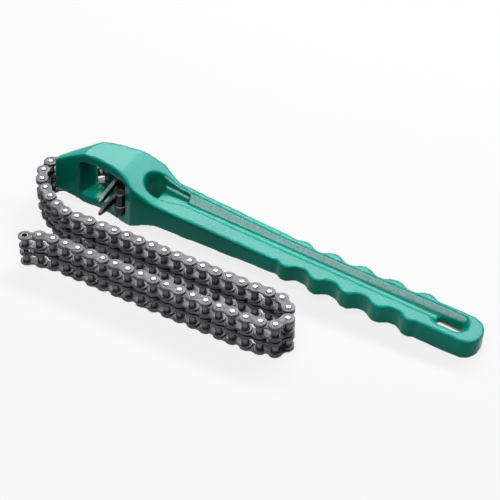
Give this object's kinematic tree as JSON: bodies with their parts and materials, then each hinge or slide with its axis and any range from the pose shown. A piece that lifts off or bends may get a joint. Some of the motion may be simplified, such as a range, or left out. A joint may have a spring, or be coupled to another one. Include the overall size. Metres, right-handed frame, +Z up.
{
  "type": "chain oil filter wrench",
  "caption": "Cast-handled wrench with a two-strand bush chain that wraps round an oil filter and catches on a swinging two-pronged hook in the head.",
  "frame": {"origin": "on the table, at the middle of the rectangle that the wrench and its laid-out chain cover", "axes": "+X along the wrench from nose to grip end, +Y away from the chain, +Z up from the table"},
  "size_m": [0.32, 0.1024, 0.0443],
  "materials": {
    "enamel": "gloss green enamel on cast iron",
    "black_steel": "black oxide",
    "chain_steel": "satin grey steel"
  },
  "bodies": {
    "casting": {"casting": "enamel", "hook_pivot_pin": "black_steel", "anchor_pin": "chain_steel"},
    "hook": {"hook": "black_steel"},
    "inner_link_01": {"inner_link_01": "chain_steel"},
    "outer_link_01": {"outer_link_01": "chain_steel"},
    "inner_link_02": {"inner_link_02": "chain_steel"},
    "outer_link_02": {"outer_link_02": "chain_steel"},
    "inner_link_03": {"inner_link_03": "chain_steel"},
    "outer_link_03": {"outer_link_03": "chain_steel"},
    "inner_link_04": {"inner_link_04": "chain_steel"},
    "outer_link_04": {"outer_link_04": "chain_steel"},
    "inner_link_05": {"inner_link_05": "chain_steel"},
    "outer_link_05": {"outer_link_05": "chain_steel"},
    "inner_link_06": {"inner_link_06": "chain_steel"},
    "outer_link_06": {"outer_link_06": "chain_steel"},
    "inner_link_07": {"inner_link_07": "chain_steel"},
    "outer_link_07": {"outer_link_07": "chain_steel"},
    "inner_link_08": {"inner_link_08": "chain_steel"},
    "outer_link_08": {"outer_link_08": "chain_steel"},
    "inner_link_09": {"inner_link_09": "chain_steel"},
    "outer_link_09": {"outer_link_09": "chain_steel"},
    "inner_link_10": {"inner_link_10": "chain_steel"},
    "outer_link_10": {"outer_link_10": "chain_steel"},
    "inner_link_11": {"inner_link_11": "chain_steel"},
    "outer_link_11": {"outer_link_11": "chain_steel"},
    "inner_link_12": {"inner_link_12": "chain_steel"},
    "outer_link_12": {"outer_link_12": "chain_steel"},
    "inner_link_13": {"inner_link_13": "chain_steel"},
    "outer_link_13": {"outer_link_13": "chain_steel"},
    "inner_link_14": {"inner_link_14": "chain_steel"},
    "outer_link_14": {"outer_link_14": "chain_steel"},
    "inner_link_15": {"inner_link_15": "chain_steel"},
    "outer_link_15": {"outer_link_15": "chain_steel"},
    "inner_link_16": {"inner_link_16": "chain_steel"},
    "outer_link_16": {"outer_link_16": "chain_steel"},
    "inner_link_17": {"inner_link_17": "chain_steel"},
    "outer_link_17": {"outer_link_17": "chain_steel"},
    "inner_link_18": {"inner_link_18": "chain_steel"},
    "outer_link_18": {"outer_link_18": "chain_steel"},
    "inner_link_19": {"inner_link_19": "chain_steel"},
    "outer_link_19": {"outer_link_19": "chain_steel"},
    "inner_link_20": {"inner_link_20": "chain_steel"},
    "outer_link_20": {"outer_link_20": "chain_steel"},
    "inner_link_21": {"inner_link_21": "chain_steel"},
    "outer_link_21": {"outer_link_21": "chain_steel"},
    "inner_link_22": {"inner_link_22": "chain_steel"},
    "outer_link_22": {"outer_link_22": "chain_steel"},
    "inner_link_23": {"inner_link_23": "chain_steel"},
    "outer_link_23": {"outer_link_23": "chain_steel"},
    "inner_link_24": {"inner_link_24": "chain_steel"},
    "outer_link_24": {"outer_link_24": "chain_steel"},
    "inner_link_25": {"inner_link_25": "chain_steel"}
  },
  "joints": [
    {"name": "hook_pivot", "type": "hinge", "parent": "casting", "child": "hook", "pos_m": [-0.0986, 0.02092, 0.02133], "axis": [0.0567, 0, 0.9984], "range_deg": [-80, 12]},
    {"name": "chain_anchor_turn", "type": "hinge", "parent": "casting", "child": "inner_link_01", "pos_m": [-0.12662, 0.04702, 0.01305], "axis": [0, 0, 1], "range_deg": [-138, 0]},
    {"name": "link_02_turn", "type": "hinge", "parent": "inner_link_01", "child": "outer_link_01", "pos_m": [-0.13413, 0.04115, 0.01305], "axis": [0, 0, -1], "range_deg": [-5, 12]},
    {"name": "link_03_turn", "type": "hinge", "parent": "outer_link_01", "child": "inner_link_02", "pos_m": [-0.14142, 0.03503, 0.01305], "axis": [0, 0, -1], "range_deg": [-5, 12]},
    {"name": "link_04_turn", "type": "hinge", "parent": "inner_link_02", "child": "outer_link_02", "pos_m": [-0.1485, 0.02866, 0.01305], "axis": [0, 0, -1], "range_deg": [-5, 12]},
    {"name": "link_05_turn", "type": "hinge", "parent": "outer_link_02", "child": "inner_link_03", "pos_m": [-0.15535, 0.02204, 0.01305], "axis": [0, 0, 1], "range_deg": [-41.6, 5]},
    {"name": "link_06_turn", "type": "hinge", "parent": "inner_link_03", "child": "outer_link_03", "pos_m": [-0.15436, 0.01257, 0.01305], "axis": [0, 0, 1], "range_deg": [-13.6, 5]},
    {"name": "link_07_turn", "type": "hinge", "parent": "outer_link_03", "child": "inner_link_04", "pos_m": [-0.1496, 0.00432, 0.01305], "axis": [0, 0, 1], "range_deg": [-7.6, 5]},
    {"name": "link_08_turn", "type": "hinge", "parent": "inner_link_04", "child": "outer_link_04", "pos_m": [-0.14252, -0.00205, 0.01305], "axis": [0, 0, -1], "range_deg": [-4.4, 12]},
    {"name": "link_09_turn", "type": "hinge", "parent": "outer_link_04", "child": "inner_link_05", "pos_m": [-0.13481, -0.00765, 0.01305], "axis": [0, 0, -1], "range_deg": [-2.4, 12]},
    {"name": "link_10_turn", "type": "hinge", "parent": "inner_link_05", "child": "outer_link_05", "pos_m": [-0.1264, -0.01213, 0.01305], "axis": [0, 0, -1], "range_deg": [-2.4, 12]},
    {"name": "link_11_turn", "type": "hinge", "parent": "outer_link_05", "child": "inner_link_06", "pos_m": [-0.11745, -0.01538, 0.01305], "axis": [0, 0, 1], "range_deg": [-6.6, 6]},
    {"name": "link_12_turn", "type": "hinge", "parent": "inner_link_06", "child": "outer_link_06", "pos_m": [-0.10794, -0.01588, 0.01305], "axis": [0, 0, -1], "range_deg": [-3.4, 12]},
    {"name": "link_13_turn", "type": "hinge", "parent": "outer_link_06", "child": "inner_link_07", "pos_m": [-0.09844, -0.01522, 0.01305], "axis": [0, 0, -1], "range_deg": [-9, 12]},
    {"name": "link_14_turn", "type": "hinge", "parent": "inner_link_07", "child": "outer_link_07", "pos_m": [-0.08891, -0.01522, 0.01305], "axis": [0, 0, -1], "range_deg": [-9, 5]},
    {"name": "link_15_turn", "type": "hinge", "parent": "outer_link_07", "child": "inner_link_08", "pos_m": [-0.07939, -0.01522, 0.01305], "axis": [0, 0, -1], "range_deg": [-9, 5]},
    {"name": "link_16_turn", "type": "hinge", "parent": "inner_link_08", "child": "outer_link_08", "pos_m": [-0.06986, -0.01522, 0.01305], "axis": [0, 0, -1], "range_deg": [-10.4, 5]},
    {"name": "link_17_turn", "type": "hinge", "parent": "outer_link_08", "child": "inner_link_09", "pos_m": [-0.06034, -0.01522, 0.01305], "axis": [0, 0, -1], "range_deg": [-10.4, 5]},
    {"name": "link_18_turn", "type": "hinge", "parent": "inner_link_09", "child": "outer_link_09", "pos_m": [-0.05081, -0.01522, 0.01305], "axis": [0, 0, -1], "range_deg": [-10.4, 5]},
    {"name": "link_19_turn", "type": "hinge", "parent": "outer_link_09", "child": "inner_link_10", "pos_m": [-0.04129, -0.01522, 0.01305], "axis": [0, 0, -1], "range_deg": [-10.4, 5]},
    {"name": "link_20_turn", "type": "hinge", "parent": "inner_link_10", "child": "outer_link_10", "pos_m": [-0.03176, -0.01522, 0.01305], "axis": [0, 0, -1], "range_deg": [-10.4, 5]},
    {"name": "link_21_turn", "type": "hinge", "parent": "outer_link_10", "child": "inner_link_11", "pos_m": [-0.02224, -0.01522, 0.01305], "axis": [0, 0, -1], "range_deg": [-10.4, 5]},
    {"name": "link_22_turn", "type": "hinge", "parent": "inner_link_11", "child": "outer_link_11", "pos_m": [-0.01271, -0.01522, 0.01305], "axis": [0, 0, -1], "range_deg": [-10.4, 5]},
    {"name": "link_23_turn", "type": "hinge", "parent": "outer_link_11", "child": "inner_link_12", "pos_m": [-0.00319, -0.01522, 0.01305], "axis": [0, 0, -1], "range_deg": [-10.4, 5]},
    {"name": "link_24_turn", "type": "hinge", "parent": "inner_link_12", "child": "outer_link_12", "pos_m": [0.00634, -0.01522, 0.01305], "axis": [0, 0, -1], "range_deg": [-10.4, 5]},
    {"name": "link_25_turn", "type": "hinge", "parent": "outer_link_12", "child": "inner_link_13", "pos_m": [0.01586, -0.01522, 0.01305], "axis": [0, 0, -1], "range_deg": [-10.4, 0.5]},
    {"name": "link_26_turn", "type": "hinge", "parent": "inner_link_13", "child": "outer_link_13", "pos_m": [0.02539, -0.01522, 0.01305], "axis": [0, 0, -1], "range_deg": [-6.4, 0.5]},
    {"name": "link_27_turn", "type": "hinge", "parent": "outer_link_13", "child": "inner_link_14", "pos_m": [0.03489, -0.01455, 0.01305], "axis": [0, 0, -1], "range_deg": [-17.4, 0.5]},
    {"name": "link_28_turn", "type": "hinge", "parent": "inner_link_14", "child": "outer_link_14", "pos_m": [0.0444, -0.01505, 0.01305], "axis": [0, 0, -1], "range_deg": [-33.3, 0.5]},
    {"name": "link_29_turn", "type": "hinge", "parent": "outer_link_14", "child": "inner_link_15", "pos_m": [0.05211, -0.02065, 0.01305], "axis": [0, 0, -1], "range_deg": [-26.3, 0.5]},
    {"name": "link_30_turn", "type": "hinge", "parent": "inner_link_15", "child": "outer_link_15", "pos_m": [0.05658, -0.02906, 0.01305], "axis": [0, 0, -1], "range_deg": [-53.3, 0.5]},
    {"name": "link_31_turn", "type": "hinge", "parent": "outer_link_15", "child": "inner_link_16", "pos_m": [0.05255, -0.03769, 0.01305], "axis": [0, 0, -1], "range_deg": [-51.3, 0.5]},
    {"name": "link_32_turn", "type": "hinge", "parent": "inner_link_16", "child": "outer_link_16", "pos_m": [0.04331, -0.04, 0.01305], "axis": [0, 0, -1], "range_deg": [-7.3, 0.5]},
    {"name": "link_33_turn", "type": "hinge", "parent": "outer_link_16", "child": "inner_link_17", "pos_m": [0.03386, -0.04116, 0.01305], "axis": [0, 0, -1], "range_deg": [-7.3, 0.5]},
    {"name": "link_34_turn", "type": "hinge", "parent": "inner_link_17", "child": "outer_link_17", "pos_m": [0.02433, -0.04116, 0.01305], "axis": [0, 0, 1], "range_deg": [-1.5, 10]},
    {"name": "link_35_turn", "type": "hinge", "parent": "outer_link_17", "child": "inner_link_18", "pos_m": [0.01481, -0.04116, 0.01305], "axis": [0, 0, 1], "range_deg": [-1.5, 10]},
    {"name": "link_36_turn", "type": "hinge", "parent": "inner_link_18", "child": "outer_link_18", "pos_m": [0.00528, -0.04116, 0.01305], "axis": [0, 0, -1], "range_deg": [-40, 0.5]},
    {"name": "link_37_turn", "type": "hinge", "parent": "outer_link_18", "child": "inner_link_19", "pos_m": [-0.00424, -0.04116, 0.01305], "axis": [0, 0, 1], "range_deg": [-1.5, 10]},
    {"name": "link_38_turn", "type": "hinge", "parent": "inner_link_19", "child": "outer_link_19", "pos_m": [-0.01377, -0.04116, 0.01305], "axis": [0, 0, 1], "range_deg": [-1.5, 10]},
    {"name": "link_39_turn", "type": "hinge", "parent": "outer_link_19", "child": "inner_link_20", "pos_m": [-0.02329, -0.04116, 0.01305], "axis": [0, 0, 1], "range_deg": [-1.5, 10]},
    {"name": "link_40_turn", "type": "hinge", "parent": "inner_link_20", "child": "outer_link_20", "pos_m": [-0.03282, -0.04116, 0.01305], "axis": [0, 0, 1], "range_deg": [-1.5, 10]},
    {"name": "link_41_turn", "type": "hinge", "parent": "outer_link_20", "child": "inner_link_21", "pos_m": [-0.04234, -0.04116, 0.01305], "axis": [0, 0, 1], "range_deg": [-1.5, 10]},
    {"name": "link_42_turn", "type": "hinge", "parent": "inner_link_21", "child": "outer_link_21", "pos_m": [-0.05187, -0.04116, 0.01305], "axis": [0, 0, 1], "range_deg": [-1.5, 10]},
    {"name": "link_43_turn", "type": "hinge", "parent": "outer_link_21", "child": "inner_link_22", "pos_m": [-0.06139, -0.04116, 0.01305], "axis": [0, 0, 1], "range_deg": [-1.5, 10]},
    {"name": "link_44_turn", "type": "hinge", "parent": "inner_link_22", "child": "outer_link_22", "pos_m": [-0.07092, -0.04116, 0.01305], "axis": [0, 0, 1], "range_deg": [-1.5, 10]},
    {"name": "link_45_turn", "type": "hinge", "parent": "outer_link_22", "child": "inner_link_23", "pos_m": [-0.08044, -0.04116, 0.01305], "axis": [0, 0, 1], "range_deg": [-1.5, 10]},
    {"name": "link_46_turn", "type": "hinge", "parent": "inner_link_23", "child": "outer_link_23", "pos_m": [-0.08997, -0.04116, 0.01305], "axis": [0, 0, 1], "range_deg": [-1.5, 10]},
    {"name": "link_47_turn", "type": "hinge", "parent": "outer_link_23", "child": "inner_link_24", "pos_m": [-0.09949, -0.04116, 0.01305], "axis": [0, 0, 1], "range_deg": [-2.5, 10]},
    {"name": "link_48_turn", "type": "hinge", "parent": "inner_link_24", "child": "outer_link_24", "pos_m": [-0.10901, -0.04149, 0.01305], "axis": [0, 0, 1], "range_deg": [-8.5, 10]},
    {"name": "end_link_turn", "type": "hinge", "parent": "outer_link_24", "child": "inner_link_25", "pos_m": [-0.11839, -0.04314, 0.01305], "axis": [0, 0, 1], "range_deg": [-100, 80]}
  ]
}
